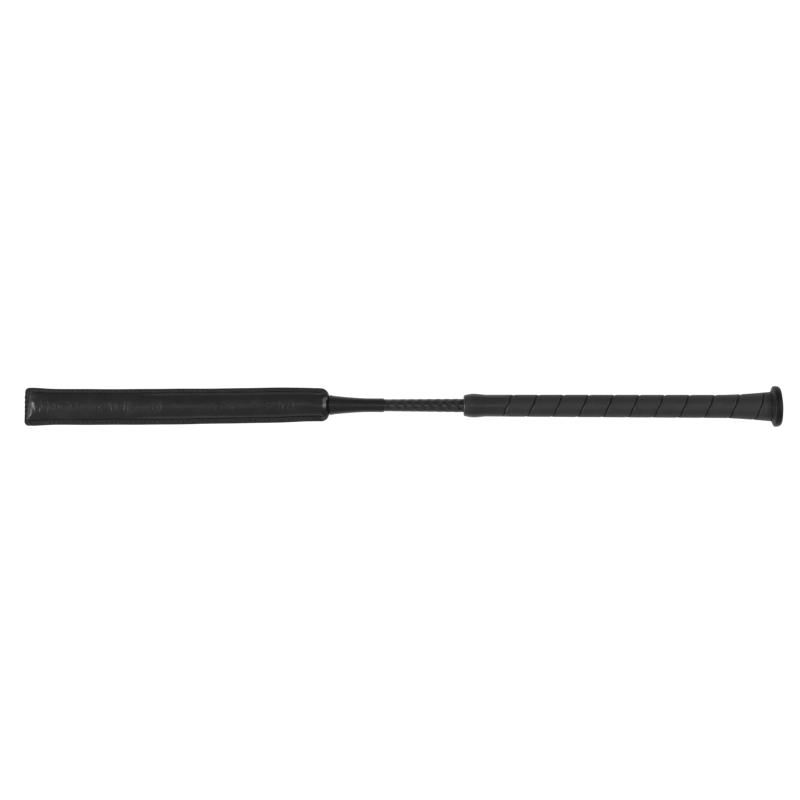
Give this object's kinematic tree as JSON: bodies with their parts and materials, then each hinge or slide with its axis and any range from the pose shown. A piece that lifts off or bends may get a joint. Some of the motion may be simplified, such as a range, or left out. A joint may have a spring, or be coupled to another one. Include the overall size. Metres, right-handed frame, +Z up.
{
  "type": "riding crop",
  "caption": "Padded riding crop with a spiral-grooved rubber grip, mushroom end cap, braided flexible shaft, tapered boot and a folding cushioned leather flap.",
  "frame": {"origin": "on the surface that the end cap's rim touches, below the middle of the crop's length; the shaft's axis is one cap radius above it", "axes": "+X along the shaft towards the butt, +Y across the padded end in its own plane, +Z up, square to the padded end's front face"},
  "size_m": [0.635, 0.034, 0.0341],
  "materials": {
    "grip_rubber": "matte",
    "cap_rubber": "matte",
    "boot_rubber": "satin",
    "leather_black": "satin",
    "braid_nylon": "satin",
    "thread_black": "satin",
    "filler_yarn": "matte",
    "foam": "matte",
    "tongue_leather": "matte",
    "fibreglass": "gloss",
    "core_plastic": "matte",
    "tape": "matte",
    "ferrule_brass": "satin"
  },
  "bodies": {
    "handle": {"handle_core": "core_plastic", "grip_tape": "tape", "rubber_grip": "grip_rubber", "end_cap": "cap_rubber", "cap_plug": "core_plastic", "upper_braid_binding": "thread_black"},
    "shaft": {"shaft_rod": "fibreglass", "rod_tip_ferrule": "ferrule_brass", "shaft_filler": "filler_yarn", "braided_cover": "braid_nylon", "lower_braid_binding": "thread_black", "neck_boot": "boot_rubber", "neck_binding": "thread_black", "pad_front_leather": "leather_black", "pad_back_leather": "leather_black", "pad_front_foam": "foam", "pad_back_foam": "foam", "pad_edge_stitching": "thread_black"},
    "flap": {"flap_front_leather": "leather_black", "flap_back_leather": "leather_black", "flap_front_foam": "foam", "flap_back_foam": "foam", "flap_tongue": "tongue_leather", "flap_edge_stitching": "thread_black"}
  },
  "joints": [
    {"name": "shaft_flex", "type": "hinge", "parent": "handle", "child": "shaft", "pos_m": [0.0499, 0, 0.01705], "axis": [0, 1, 0], "range_deg": [-12, 12], "stiffness_Nm_per_rad": 40, "deforming": ["shaft_rod"]},
    {"name": "flap_flex", "type": "hinge", "parent": "shaft", "child": "flap", "pos_m": [-0.2125, 0, 0.01705], "axis": [0, 1, 0], "range_deg": [-60, 60], "stiffness_Nm_per_rad": 0.6, "deforming": ["flap_tongue"]}
  ]
}
